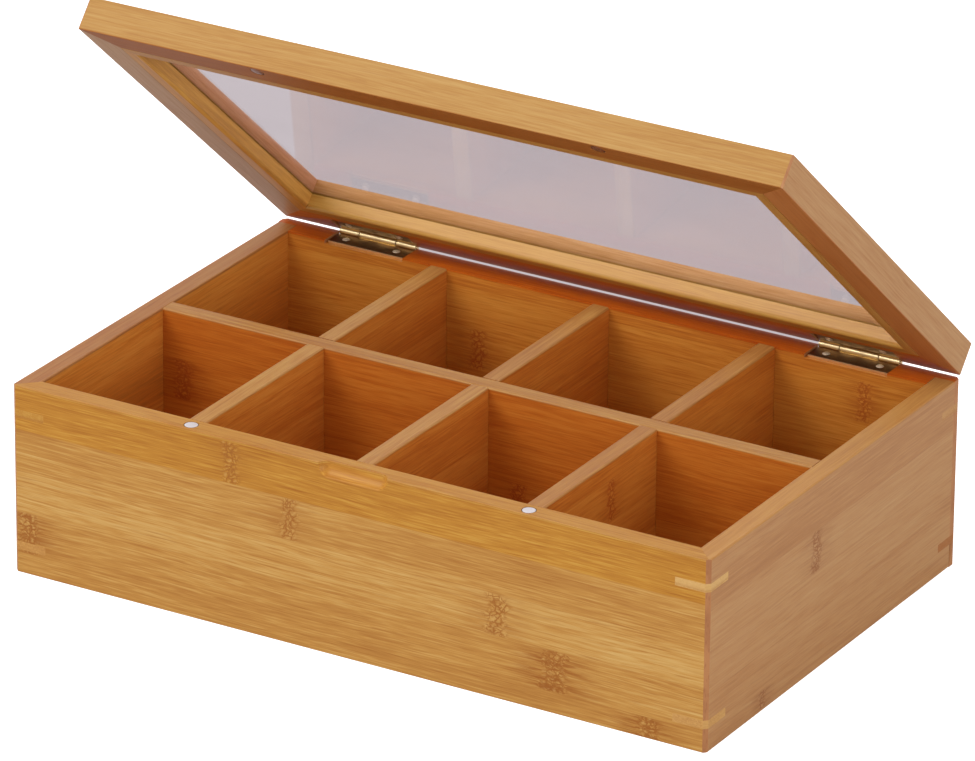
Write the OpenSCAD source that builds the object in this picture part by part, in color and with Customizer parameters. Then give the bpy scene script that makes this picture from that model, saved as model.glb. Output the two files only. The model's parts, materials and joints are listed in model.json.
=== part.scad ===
// Hinged bamboo box with eight compartments and a window in its lid.
// Millimetres. X runs left to right, Y front to back, Z up.
// The origin is at the centre of the box's base.

/* [Box] */
// Width of the box, left to right
box_w = 320; // [260:1:420]
// Depth of the box, front to back
box_d = 206; // [160:1:300]
// Height of the box to its rim
box_h = 82; // [50:1:140]
// Thickness of the front and side panels
wall_t = 9; // [8.5:0.5:14]
// Thickness of the back panel, which carries the hinges
back_t = 12; // [11.5:0.5:18]
// Thickness of the back panel's lap over the ends of the side panels
back_lap_t = 5; // [3:0.5:8]
// Chamfer on the upright outer edges of the box
edge_chamfer = 1.6; // [0.4:0.1:2]

/* [Bottom] */
// Thickness of the bottom panel
bottom_t = 5; // [3:0.5:10]
// How far the bottom panel is let into the panels around it
bottom_seat = 4.5; // [2:0.5:5]
// Gap round the bottom panel in its rabbet
bottom_gap = 0.1; // [0.05:0.05:0.5]

/* [Dividers] */
// Thickness of the dividers
divider_t = 8; // [5:0.5:10]
// How far the dividers' tongues go into the panels
housing_depth = 3; // [1.5:0.5:5]
// Height of wood between the rim and the top of each housing
housing_stop = 8; // [4:0.5:20]
// Gap round the dividers where they are halved and housed
divider_gap = 0.1; // [0.05:0.05:0.3]

/* [Corner keys] */
// Thickness of the keys across the corners
key_t = 3.6; // [2:0.1:5]
// Length of a key along each face
key_leg = 15; // [12:0.5:16.5]
// Distance from the rim or the base to the middle of the nearest key
key_inset = 12; // [7:0.5:18]

/* [Thumb recess] */
// Length of the recess in the front rim
recess_l = 32; // [16:1:60]
// How far the recess reaches back into the rim
recess_reach = 3.5; // [2:0.1:5]
// Height of the recess on the front face
recess_drop = 5.7; // [4:0.1:7.5]
// Radius of the round cutter that makes the recess
recess_r = 5; // [5:0.5:7]

/* [Lid] */
// Thickness of the lid
lid_t = 14; // [12:0.5:20]
// Width of the lid's rails
rail_w = 20; // [18.5:0.5:32]
// Chamfer on the upright outer edges of the lid
lid_chamfer = 0.8; // [0.2:0.1:2]
// Width of the rabbet that takes the pane and the beads
rabbet_w = 6; // [4:0.5:6]
// Thickness of the lip above the pane
lip_t = 6; // [3:0.5:7]
// Thickness of the window pane
pane_t = 1.5; // [1:0.1:3]
// Gap round the edge of the pane
pane_gap = 0.4; // [0.1:0.1:1]
// Radius of the eased edge of the beads
bead_round = 1.6; // [0.5:0.1:2.5]
// Gap between the closed lid and the rim
lid_gap = 0.3; // [0.2:0.05:0.6]
// Angle by which the lid stands open
lid_open = 41; // [0:1:95]

/* [Magnets] */
// Diameter of the magnets
magnet_d = 6; // [4:0.5:6]
// Thickness of the magnets
magnet_t = 2; // [1:0.5:5]
// Distance from the front face to the middle of a magnet
magnet_inset = 4.3; // [4:0.1:4.5]
// Gap round a magnet in its hole
magnet_gap = 0.05; // [0.02:0.01:0.1]

/* [Hinges] */
// Length of a hinge
hinge_l = 37; // [25:1:60]
// Distance from the end of the box to the middle of a hinge
hinge_inset = 46; // [38:1:80]
// Width of a leaf from the pin's axis to its far edge
leaf_w = 11; // [9.5:0.5:11.5]
// Thickness of a leaf
leaf_t = 1; // [0.6:0.1:1.2]
// Diameter of the knuckles
knuckle_d = 3.6; // [3.2:0.1:4.5]
// Length of the middle knuckle
middle_knuckle_l = 17.6; // [10:0.1:20]
// Gap between knuckles along the pin
knuckle_gap = 0.3; // [0.1:0.05:0.6]
// Diameter of the pin
pin_d = 1.8; // [1.2:0.1:2]
// Gap between the pin and the bores
pin_gap = 0.05; // [0.02:0.01:0.1]
// Length of the pin that stands out at each end
pin_end = 0.4; // [0:0.1:1]
// Distance from the back face to the pin's axis
pin_offset = 0.8; // [0.6:0.1:1.8]
// Gap at each end of a hinge in its notch
notch_gap = 0.5; // [0.2:0.1:1.5]

/* [Screws] */
// Distance between the two screws of a leaf
screw_span = 24.6; // [16:0.2:30]
// Distance from the pin's axis to the screws
screw_reach = 6.5; // [5.5:0.1:7.5]
// Diameter of the screws' heads
head_d = 3.4; // [2.4:0.1:3.8]
// Height of the screws' heads
head_h = 0.65; // [0.4:0.05:0.7]
// Diameter of the screws' shanks
shank_d = 1.6; // [1.2:0.1:2]
// Length of the screws' shanks
shank_l = 7; // [4:0.5:9]
// Width of the slot in a head
slot_w = 0.4; // [0.2:0.1:0.6]
// Depth of the slot in a head
slot_h = 0.3; // [0.1:0.05:0.35]
// Gap between a shank and its holes
shank_gap = 0.05; // [0.02:0.01:0.1]

/* [Hidden] */
$fn = 48;
// Overlap of a cutter past the face it cuts
past = 1;

front_y = -box_d / 2;
back_y = box_d / 2;
inner_left = -box_w / 2 + wall_t;
inner_w = box_w - 2 * wall_t;
inner_front = front_y + wall_t;
inner_back = back_y - back_t;
inner_d = inner_back - inner_front;
cell_w = (inner_w - 3 * divider_t) / 4;
cell_d = (inner_d - divider_t) / 2;
long_y = inner_front + cell_d + divider_t / 2;
divider_h = box_h - bottom_t;
half_h = divider_h / 2;
housing_h = divider_h - housing_stop;

// Middle of the recess's round cutter, from the upper front edge
recess_chord = norm([recess_reach, recess_drop]);
recess_away = sqrt(pow(recess_r, 2) - pow(recess_chord / 2, 2));
recess_y = recess_reach / 2 - recess_away * recess_drop / recess_chord;
recess_z = -recess_drop / 2 + recess_away * recess_reach / recess_chord;

axis_y = back_y + pin_offset;
axis_z = box_h + lid_gap / 2;
knuckle_r = knuckle_d / 2;
notch_depth = knuckle_r - lid_gap / 2;
notch_l = hinge_l + 2 * notch_gap;
notch_w = leaf_w - pin_offset + notch_gap;
end_knuckle_l = (hinge_l - middle_knuckle_l) / 2 - knuckle_gap;
leaf_clear = knuckle_r + knuckle_gap;
leaf_seat = knuckle_r - leaf_t;
hinge_x = box_w / 2 - hinge_inset;

lid_z = box_h + lid_gap;
lid_top = lid_z + lid_t;
pane_z = lid_top - lip_t - pane_t;
bead_h = lid_t - lip_t - pane_t;
window_w = box_w - 2 * rail_w;
window_d = box_d - 2 * rail_w;
magnet_x = cell_w + divider_t;

bamboo = "#c98f4c";
bamboo_pale = "#d8a566";
bamboo_dark = "#8a5a2c";
brass = "#c9a24b";
nickel = "#c8c8cc";

// ---------- shared shapes ----------

// The box or the lid seen from above, with chamfered corners
module plan_outline(c) {
    x = box_w / 2;
    y = box_d / 2;
    polygon([
        [-x + c, -y], [x - c, -y], [x, -y + c], [x, y - c],
        [x - c, y], [-x + c, y], [-x, y - c], [-x, -y + c]
    ]);
}

// Keeps the part of its children that lies inside the outline
module in_outline(low, high, chamfer) {
    intersection() {
        children();
        translate([0, 0, low]) linear_extrude(high - low) plan_outline(chamfer);
    }
}

// A mitred frame member along the front, seen from above
module front_trapezoid(length, width) {
    polygon([[-length / 2, 0], [length / 2, 0], [length / 2 - width, width], [-length / 2 + width, width]]);
}

// The rabbet round the inside of the panels that takes the bottom
module bottom_rabbet() {
    translate([inner_left - bottom_seat, inner_front - bottom_seat, -past])
        cube([inner_w + 2 * bottom_seat, inner_d + 2 * bottom_seat, bottom_t + past]);
}

// Housings for the ends of the three cross dividers
module cross_housings() {
    for (i = [-1, 0, 1])
        translate([i * magnet_x - divider_t / 2 - divider_gap, inner_front - housing_depth, bottom_t - past])
            cube([divider_t + 2 * divider_gap, inner_d + 2 * housing_depth, housing_h + past + divider_gap]);
}

// Housings for the ends of the long divider
module long_housings() {
    translate([inner_left - housing_depth, long_y - divider_t / 2 - divider_gap, bottom_t - past])
        cube([inner_w + 2 * housing_depth, divider_t + 2 * divider_gap, housing_h + past + divider_gap]);
}

// One triangular key in the front left corner, its outer edges still square
module key_blank(thickness) {
    translate([-box_w / 2, front_y, 0])
        linear_extrude(thickness, center = true)
            polygon([[0, 0], [key_leg, 0], [0, key_leg]]);
}

// Puts its children in one corner, at the upper or the lower height
module at_corner(side, end, level) {
    z = level > 0 ? box_h - key_inset : key_inset;
    translate([0, 0, z])
        mirror([side > 0 ? 1 : 0, 0, 0])
            mirror([0, end > 0 ? 1 : 0, 0])
                children();
}

// Slots for all eight keys
module key_slots() {
    for (side = [-1, 1], end = [-1, 1], level = [-1, 1])
        at_corner(side, end, level) key_blank(key_t);
}

module corner_key(side, end, level) {
    color(bamboo_dark)
        in_outline(0, box_h, edge_chamfer) at_corner(side, end, level) key_blank(key_t);
}

// Turns the closed lid about the hinge pins to where it stands
module lid_place() {
    translate([0, axis_y, axis_z])
        rotate([-lid_open, 0, 0])
            translate([0, -axis_y, -axis_z])
                children();
}

// A shallow round hole for a magnet, its mouth at the given height
module magnet_hole(side, low) {
    translate([side * magnet_x, front_y + magnet_inset, low])
        cylinder(d = magnet_d + 2 * magnet_gap, h = magnet_t + past);
}

// Pilot holes for the screws of both hinges, downwards from a height
module shank_holes(low, length) {
    for (side = [-1, 1], end = [-1, 1])
        translate([side * hinge_x + end * screw_span / 2, axis_y - screw_reach, low])
            cylinder(d = shank_d + 2 * shank_gap, h = length);
}

// ---------- box ----------

// The recess that a thumb lifts the lid from, cut with a ball-nosed cutter
module thumb_recess() {
    half = recess_l / 2 - recess_r;
    translate([0, front_y + recess_y, box_h + recess_z]) {
        rotate([0, 90, 0]) cylinder(r = recess_r, h = 2 * half, center = true);
        for (side = [-1, 1]) translate([side * half, 0, 0]) sphere(r = recess_r);
    }
}

module front_panel() {
    color(bamboo_pale)
        difference() {
            in_outline(0, box_h, edge_chamfer)
                translate([0, front_y, 0]) linear_extrude(box_h) front_trapezoid(box_w, wall_t);
            bottom_rabbet();
            cross_housings();
            key_slots();
            thumb_recess();
            for (side = [-1, 1]) magnet_hole(side, box_h - magnet_t);
        }
}

module back_panel() {
    color(bamboo)
        difference() {
            in_outline(0, box_h, edge_chamfer) {
                translate([-box_w / 2, back_y - back_lap_t, 0]) cube([box_w, back_lap_t, box_h]);
                translate([inner_left, inner_back, 0]) cube([inner_w, back_t, box_h]);
            }
            bottom_rabbet();
            cross_housings();
            key_slots();
            for (side = [-1, 1])
                translate([side * hinge_x - notch_l / 2, inner_back - past, box_h - notch_depth])
                    cube([notch_l, back_t + 2 * past, notch_depth + past]);
            shank_holes(box_h - notch_depth - shank_l - past / 2, shank_l + past);
        }
}

// A side panel: mitred at the front, square against the back panel's lap
module side_panel(side) {
    color(bamboo)
        difference() {
            in_outline(0, box_h, edge_chamfer)
                mirror([side > 0 ? 1 : 0, 0, 0])
                    translate([-box_w / 2, 0, 0])
                        linear_extrude(box_h)
                            polygon([
                                [0, front_y], [wall_t, front_y + wall_t],
                                [wall_t, back_y - back_lap_t], [0, back_y - back_lap_t]
                            ]);
            bottom_rabbet();
            long_housings();
            key_slots();
        }
}

module left_panel() { side_panel(-1); }
module right_panel() { side_panel(1); }

module bottom_panel() {
    margin = bottom_seat - bottom_gap;
    color(bamboo)
        translate([inner_left - margin, inner_front - margin, 0])
            cube([inner_w + 2 * margin, inner_d + 2 * margin, bottom_t]);
}

// The long divider is slotted from below, the cross dividers from above
module long_divider() {
    tongue = housing_depth - divider_gap;
    color(bamboo_pale)
        difference() {
            translate([0, long_y - divider_t / 2, bottom_t]) {
                translate([inner_left, 0, 0]) cube([inner_w, divider_t, divider_h]);
                translate([inner_left - tongue, 0, 0]) cube([inner_w + 2 * tongue, divider_t, housing_h]);
            }
            for (i = [-1, 0, 1])
                translate([i * magnet_x - divider_t / 2 - divider_gap, long_y - divider_t, bottom_t - past])
                    cube([divider_t + 2 * divider_gap, 2 * divider_t, half_h + past]);
        }
}

module cross_divider(i) {
    tongue = housing_depth - divider_gap;
    color(bamboo_pale)
        difference() {
            translate([i * magnet_x - divider_t / 2, 0, bottom_t]) {
                translate([0, inner_front, 0]) cube([divider_t, inner_d, divider_h]);
                translate([0, inner_front - tongue, 0]) cube([divider_t, inner_d + 2 * tongue, housing_h]);
            }
            translate([
                i * magnet_x - divider_t,
                long_y - divider_t / 2 - divider_gap,
                bottom_t + half_h
            ])
                cube([2 * divider_t, divider_t + 2 * divider_gap, half_h + past]);
        }
}

module cross_divider_left() { cross_divider(-1); }
module cross_divider_middle() { cross_divider(0); }
module cross_divider_right() { cross_divider(1); }

module key_front_left_upper() { corner_key(-1, -1, 1); }
module key_front_left_lower() { corner_key(-1, -1, -1); }
module key_front_right_upper() { corner_key(1, -1, 1); }
module key_front_right_lower() { corner_key(1, -1, -1); }
module key_back_left_upper() { corner_key(-1, 1, 1); }
module key_back_left_lower() { corner_key(-1, 1, -1); }
module key_back_right_upper() { corner_key(1, 1, 1); }
module key_back_right_lower() { corner_key(1, 1, -1); }

module magnet(side, low) {
    color(nickel)
        translate([side * magnet_x, front_y + magnet_inset, low])
            cylinder(d = magnet_d, h = magnet_t);
}

module box_magnet_left() { magnet(-1, box_h - magnet_t); }
module box_magnet_right() { magnet(1, box_h - magnet_t); }

// ---------- hinges ----------

// A knuckle on the pin's axis, centred at the given X
module knuckle(x, length) {
    translate([x - length / 2, 0, 0]) rotate([0, 90, 0]) cylinder(d = knuckle_d, h = length);
}

// One leaf lying below the pin's axis. The pin is at the origin, along X.
// The box's leaf carries the middle knuckle and the lid's the two outer ones.
module hinge_leaf(middle) {
    end_x = (hinge_l - end_knuckle_l) / 2;
    color(brass)
        difference() {
            union() {
                translate([-hinge_l / 2, -leaf_w, -knuckle_r]) cube([hinge_l, leaf_w - leaf_clear, leaf_t]);
                if (middle) {
                    translate([-middle_knuckle_l / 2, -leaf_w, -knuckle_r])
                        cube([middle_knuckle_l, leaf_w, leaf_t]);
                    knuckle(0, middle_knuckle_l);
                } else {
                    for (side = [-1, 1]) {
                        translate([side * end_x - end_knuckle_l / 2, -leaf_w, -knuckle_r])
                            cube([end_knuckle_l, leaf_w, leaf_t]);
                        knuckle(side * end_x, end_knuckle_l);
                    }
                }
            }
            translate([-hinge_l, 0, 0])
                rotate([0, 90, 0])
                    cylinder(d = pin_d + 2 * pin_gap, h = 2 * hinge_l);
            for (end = [-1, 1])
                translate([end * screw_span / 2, -screw_reach, -knuckle_r - past])
                    cylinder(d = shank_d + 2 * shank_gap, h = leaf_t + 2 * past);
        }
}

// A round head screw, its head's seat at the origin and its shank downwards
module screw() {
    dome_r = (pow(head_d / 2, 2) + pow(head_h, 2)) / (2 * head_h);
    color(brass) {
        difference() {
            intersection() {
                translate([0, 0, head_h - dome_r]) sphere(r = dome_r);
                cylinder(d = head_d + past, h = head_h + past);
            }
            translate([-head_d, -slot_w / 2, head_h - slot_h]) cube([2 * head_d, slot_w, slot_h + past]);
        }
        translate([0, 0, -shank_l]) cylinder(d = shank_d, h = shank_l);
    }
}

module leaf_screws() {
    for (side = [-1, 1], end = [-1, 1])
        translate([side * hinge_x + end * screw_span / 2, -screw_reach, -leaf_seat]) screw();
}

module box_hinge_place() {
    translate([0, axis_y, axis_z]) children();
}

// The lid's half of a hinge is the box's half turned over
module lid_hinge_place() {
    lid_place() translate([0, axis_y, axis_z]) mirror([0, 0, 1]) children();
}

module hinge_pin(side) {
    color(brass)
        box_hinge_place()
            translate([side * hinge_x - hinge_l / 2 - pin_end, 0, 0])
                rotate([0, 90, 0])
                    cylinder(d = pin_d, h = hinge_l + 2 * pin_end);
}

module box_leaf_left() { box_hinge_place() translate([-hinge_x, 0, 0]) hinge_leaf(true); }
module box_leaf_right() { box_hinge_place() translate([hinge_x, 0, 0]) hinge_leaf(true); }
module hinge_pin_left() { hinge_pin(-1); }
module hinge_pin_right() { hinge_pin(1); }
module box_leaf_screws() { box_hinge_place() leaf_screws(); }
module lid_leaf_left() { lid_hinge_place() translate([-hinge_x, 0, 0]) hinge_leaf(false); }
module lid_leaf_right() { lid_hinge_place() translate([hinge_x, 0, 0]) hinge_leaf(false); }
module lid_leaf_screws() { lid_hinge_place() leaf_screws(); }

// ---------- lid ----------

// Turns its children, drawn for the front, to one of the four sides of a frame
module frame_side(side, w, d) {
    if (side == "front") translate([0, -d / 2, 0]) children();
    if (side == "back") translate([0, d / 2, 0]) rotate([0, 0, 180]) children();
    if (side == "left") translate([-w / 2, 0, 0]) rotate([0, 0, -90]) children();
    if (side == "right") translate([w / 2, 0, 0]) rotate([0, 0, 90]) children();
}

// Length of the frame member on a side
function side_length(side, w, d) = side == "front" || side == "back" ? w : d;

module lid_rail(side) {
    length = side_length(side, box_w, box_d);
    lid_place() color(bamboo_pale)
        difference() {
            in_outline(lid_z, lid_top, lid_chamfer)
                frame_side(side, box_w, box_d)
                    translate([0, 0, lid_z]) linear_extrude(lid_t) front_trapezoid(length, rail_w);
            // rabbet for the pane and the beads
            translate([-window_w / 2 - rabbet_w, -window_d / 2 - rabbet_w, lid_z - past])
                cube([window_w + 2 * rabbet_w, window_d + 2 * rabbet_w, lid_t - lip_t + past]);
            if (side == "front")
                for (end = [-1, 1]) magnet_hole(end, lid_z - past);
            if (side == "back") {
                for (end = [-1, 1])
                    translate([end * hinge_x - notch_l / 2, back_y - notch_w, lid_z - past])
                        cube([notch_l, notch_w + past, notch_depth + past]);
                shank_holes(lid_z, notch_depth + shank_l + past / 2);
            }
        }
}

module lid_front_rail() { lid_rail("front"); }
module lid_back_rail() { lid_rail("back"); }
module lid_left_rail() { lid_rail("left"); }
module lid_right_rail() { lid_rail("right"); }

module window_pane() {
    margin = rabbet_w - pane_gap;
    lid_place() color("#bbaeb4", 0.45)
        translate([-window_w / 2 - margin, -window_d / 2 - margin, pane_z])
            cube([window_w + 2 * margin, window_d + 2 * margin, pane_t]);
}

// Section of a bead: its inner lower edge is eased
module bead_section() {
    r = bead_round;
    translate([0, r]) square([rabbet_w, bead_h - r]);
    square([rabbet_w - r, bead_h]);
    translate([rabbet_w - r, r]) circle(r = r);
}

module bead(side) {
    w = window_w + 2 * rabbet_w;
    d = window_d + 2 * rabbet_w;
    length = side_length(side, w, d);
    lid_place() color(bamboo)
        translate([0, 0, lid_z])
            frame_side(side, w, d)
                intersection() {
                    linear_extrude(bead_h) front_trapezoid(length, rabbet_w);
                    translate([-length / 2, 0, 0])
                        rotate([90, 0, 90])
                            linear_extrude(length) bead_section();
                }
}

module bead_front() { bead("front"); }
module bead_back() { bead("back"); }
module bead_left() { bead("left"); }
module bead_right() { bead("right"); }

module lid_magnet_left() { lid_place() magnet(-1, lid_z); }
module lid_magnet_right() { lid_place() magnet(1, lid_z); }

front_panel();
back_panel();
left_panel();
right_panel();
bottom_panel();
long_divider();
cross_divider_left();
cross_divider_middle();
cross_divider_right();
key_front_left_upper();
key_front_left_lower();
key_front_right_upper();
key_front_right_lower();
key_back_left_upper();
key_back_left_lower();
key_back_right_upper();
key_back_right_lower();
box_magnet_left();
box_magnet_right();
box_leaf_left();
box_leaf_right();
hinge_pin_left();
hinge_pin_right();
box_leaf_screws();
lid_front_rail();
lid_back_rail();
lid_left_rail();
lid_right_rail();
window_pane();
bead_front();
bead_back();
bead_left();
bead_right();
lid_magnet_left();
lid_magnet_right();
lid_leaf_left();
lid_leaf_right();
lid_leaf_screws();
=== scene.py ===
import json
import math
import bpy
from mathutils import Matrix, Quaternion, Vector


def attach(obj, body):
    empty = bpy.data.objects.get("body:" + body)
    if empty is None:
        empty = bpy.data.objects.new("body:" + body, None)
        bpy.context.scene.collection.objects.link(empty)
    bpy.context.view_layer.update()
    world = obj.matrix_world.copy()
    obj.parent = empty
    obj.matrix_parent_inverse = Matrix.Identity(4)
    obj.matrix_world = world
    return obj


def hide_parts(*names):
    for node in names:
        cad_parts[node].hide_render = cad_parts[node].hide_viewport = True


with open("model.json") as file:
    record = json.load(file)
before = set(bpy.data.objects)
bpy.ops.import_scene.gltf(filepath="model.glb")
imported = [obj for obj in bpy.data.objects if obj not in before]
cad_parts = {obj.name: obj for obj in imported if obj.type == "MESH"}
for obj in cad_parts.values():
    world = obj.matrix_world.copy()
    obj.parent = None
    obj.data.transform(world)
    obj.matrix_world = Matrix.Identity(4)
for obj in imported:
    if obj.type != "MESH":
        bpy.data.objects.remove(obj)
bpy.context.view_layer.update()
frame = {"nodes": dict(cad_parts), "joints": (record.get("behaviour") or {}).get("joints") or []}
print("frame loaded:", len(frame["nodes"]), "nodes")

mm = 0.001

# the lid stands open at rest, so what is drawn for the closed lid is swung about the pins
lidJoint = frame["joints"][0]
pinPoint = Vector(lidJoint["pos_m"])
openAngle = math.radians(-lidJoint["range_deg"][0])
lidSwing = (
    Matrix.Translation(pinPoint)
    @ Matrix.Rotation(openAngle, 4, Vector(lidJoint["axis"]))
    @ Matrix.Translation(-pinPoint)
)
lidTurn = lidSwing.to_3x3()

axisX = Vector((1, 0, 0))
axisY = Vector((0, 1, 0))
axisZ = Vector((0, 0, 1))
lidY = lidTurn @ axisY
lidZ = lidTurn @ axisZ


# selecting and shaping

def deselectAll():
    if bpy.context.object and bpy.context.object.mode != "OBJECT":
        bpy.ops.object.mode_set(mode="OBJECT")
    bpy.ops.object.select_all(action="DESELECT")


def makeActive(piece):
    deselectAll()
    piece.select_set(True)
    bpy.context.view_layer.objects.active = piece


def applyPlace(piece):
    makeActive(piece)
    bpy.ops.object.transform_apply(location=True, rotation=True, scale=True)


def editMesh(piece, part):
    makeActive(piece)
    bpy.ops.object.mode_set(mode="EDIT")
    bpy.ops.mesh.select_mode(type=part)
    bpy.ops.mesh.select_all(action="DESELECT")
    bpy.ops.object.mode_set(mode="OBJECT")


def chooseFaces(piece, test):
    editMesh(piece, "FACE")
    for face in piece.data.polygons:
        face.select = test(face.center, face.normal)
    bpy.ops.object.mode_set(mode="EDIT")


def chooseEdges(piece, test):
    # the test gets both ends of an edge, and only edges where the surface turns are offered
    editMesh(piece, "EDGE")
    besides = {}
    for face in piece.data.polygons:
        for key in face.edge_keys:
            besides.setdefault(key, []).append(face.normal)
    points = piece.data.vertices
    for edge in piece.data.edges:
        normals = besides[edge.key]
        sharp = len(normals) == 2 and normals[0].dot(normals[1]) < 0.85
        a, b = (points[i].co for i in edge.vertices)
        edge.select = sharp and test(a, b)
    bpy.ops.object.mode_set(mode="EDIT")


def choosePoints(piece, test):
    editMesh(piece, "VERT")
    for point in piece.data.vertices:
        point.select = test(point.co)
    bpy.ops.object.mode_set(mode="EDIT")


def leaveEdit():
    bpy.ops.object.mode_set(mode="OBJECT")


def applyModifier(piece, kind, **settings):
    makeActive(piece)
    modifier = piece.modifiers.new(kind.lower(), kind)
    for key, value in settings.items():
        setattr(modifier, key, value)
    bpy.ops.object.modifier_apply(modifier=modifier.name)


def smoothByAngle(piece, degrees):
    makeActive(piece)
    bpy.ops.object.shade_smooth_by_angle(angle=math.radians(degrees))


def evenNormals(piece, degrees):
    # flat faces stay flat where they meet an eased edge
    smoothByAngle(piece, degrees)
    applyModifier(piece, "WEIGHTED_NORMAL", weight=100, keep_sharp=True)


def outwardNormals(piece):
    chooseFaces(piece, lambda centre, normal: True)
    bpy.ops.mesh.remove_doubles(threshold=0.000001)
    bpy.ops.mesh.normals_make_consistent(inside=False)
    leaveEdit()


def ownCopy(piece, name):
    twin = piece.copy()
    twin.data = piece.data.copy()
    twin.name = name
    bpy.context.scene.collection.objects.link(twin)
    return twin


def fitPiece(piece, body, node):
    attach(piece, body)
    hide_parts(node)


# node helpers

def addNode(tree, kind, at, settings=None, inputs=None):
    node = tree.nodes.new(kind)
    node.location = at
    for key, value in (settings or {}).items():
        setattr(node, key, value)
    for key, value in (inputs or {}).items():
        if isinstance(value, bpy.types.NodeSocket):
            tree.links.new(value, node.inputs[key])
        else:
            node.inputs[key].default_value = value
    return node


def mathNode(tree, operation, a, b, at, clamp=False):
    settings = {"operation": operation, "use_clamp": clamp}
    return addNode(tree, "ShaderNodeMath", at, settings, {0: a, 1: b}).outputs[0]


def scaleAdd(tree, value, factor, addend, at):
    inputs = {0: value, 1: factor, 2: addend}
    return addNode(tree, "ShaderNodeMath", at, {"operation": "MULTIPLY_ADD"}, inputs).outputs[0]


def aboutMiddle(tree, value, factor, at):
    # noise counted from its middle, then scaled
    middle = mathNode(tree, "SUBTRACT", value, 0.5, at)
    return mathNode(tree, "MULTIPLY", middle, factor, (at[0] + 140, at[1]))


def vectorNode(tree, operation, a, b, at):
    settings = {"operation": operation}
    return addNode(tree, "ShaderNodeVectorMath", at, settings, {0: a, 1: b}).outputs[0]


def splitNode(tree, source, at):
    return addNode(tree, "ShaderNodeSeparateXYZ", at, None, {0: source}).outputs


def joinNode(tree, parts, at):
    return addNode(tree, "ShaderNodeCombineXYZ", at, None, parts).outputs[0]


def rangeNode(tree, value, low, high, toLow, toHigh, at, kind="SMOOTHSTEP"):
    settings = {"interpolation_type": kind}
    inputs = {"Value": value, "From Min": low, "From Max": high, "To Min": toLow, "To Max": toHigh}
    return addNode(tree, "ShaderNodeMapRange", at, settings, inputs).outputs["Result"]


def noiseNode(tree, vector, stretch, detail, at, roughness=0.5, shift=(0, 0, 0)):
    grown = vectorNode(tree, "MULTIPLY", vector, stretch, (at[0] - 360, at[1]))
    moved = vectorNode(tree, "ADD", grown, shift, (at[0] - 180, at[1]))
    inputs = {"Vector": moved, "Scale": 1.0, "Detail": detail, "Roughness": roughness}
    return addNode(tree, "ShaderNodeTexNoise", at, None, inputs).outputs["Fac"]


def mixColor(tree, factor, a, b, at, blend="MIX"):
    # 6, 7 and 2 are the colour sockets of the node
    settings = {"data_type": "RGBA", "blend_type": blend}
    return addNode(tree, "ShaderNodeMix", at, settings, {0: factor, 6: a, 7: b}).outputs[2]


def newGroup(name, inputs, outputs):
    tree = bpy.data.node_groups.new(name, "ShaderNodeTree")
    for label, kind, value in inputs:
        socket = tree.interface.new_socket(label, in_out="INPUT", socket_type=kind)
        socket.default_value = value
    for label, kind in outputs:
        tree.interface.new_socket(label, in_out="OUTPUT", socket_type=kind)
    source = addNode(tree, "NodeGroupInput", (-1800, 0))
    result = addNode(tree, "NodeGroupOutput", (1800, 0))
    return tree, source.outputs, result.inputs


number = "NodeSocketFloat"
vector = "NodeSocketVector"
colour = "NodeSocketColor"


# stage

camera = {
    "aim": (-0.00771, 0.01341, 0.07548),
    "azimuth": 30.516,
    "elevation": 23.552,
    "distance": 3.26,
    "roll": 0.489,
    "lens": 298.8,
}
studio = {
    "worldStrength": 0.74,
    "worldTint": (1.0, 0.965, 0.975, 1.0),
    "backdropStrength": 1.05,
    "floorSize": 8.0,
    "floorColor": (0.535, 0.5, 0.52, 1.0),
    "floorRoughness": 0.75,
    "floorSpecular": 0.2,
    "floorGlow": 1.0,
    # a painted shadow behind the box: a patch where the floor doesn't glow, each edge given from
    # dark to lit
    "boxBack": 0.103,
    "paintedShadowLean": 0.589,
    "paintedShadowSides": (0.1, 0.158),
    "paintedShadowFar": (0.175, 0.265),
    "paintedShadowNear": (-0.01, -0.04),
    "lampAim": (0, 0, 0.08),
    "keyPlace": (-1.37, -1.52, 2.19),
    "keySize": 1.8,
    "keyPower": 45.0,
    "keyTint": (1, 0.99, 0.975),
    "sidePlace": (2.3, -0.7, 0.9),
    "sideSize": 1.4,
    "sidePower": 16.0,
    "sideTint": (0.96, 0.97, 1),
}


def placeCamera():
    around = math.radians(camera["azimuth"])
    above = math.radians(camera["elevation"])
    away = Vector((
        math.sin(around) * math.cos(above),
        -math.cos(around) * math.cos(above),
        math.sin(above),
    ))
    aim = Vector(camera["aim"])
    bpy.ops.object.camera_add(location=aim + away * camera["distance"])
    eye = bpy.context.object
    eye.name = "camera"
    eye.rotation_mode = "QUATERNION"
    roll = Quaternion((0, 0, 1), math.radians(camera["roll"]))
    eye.rotation_quaternion = (-away).to_track_quat("-Z", "Y") @ roll
    eye.data.lens = camera["lens"]
    eye.data.sensor_width = 36.0
    bpy.context.scene.camera = eye


def placeSoftbox(side):
    place = studio[side + "Place"]
    bpy.ops.object.light_add(type="AREA", location=place)
    lamp = bpy.context.object
    lamp.name = side + "Softbox"
    lamp.data.shape = "SQUARE"
    lamp.data.size = studio[side + "Size"]
    lamp.data.energy = studio[side + "Power"]
    lamp.data.color = studio[side + "Tint"]
    toBox = Vector(studio["lampAim"]) - Vector(place)
    lamp.rotation_mode = "QUATERNION"
    lamp.rotation_quaternion = toBox.to_track_quat("-Z", "Y")


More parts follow.
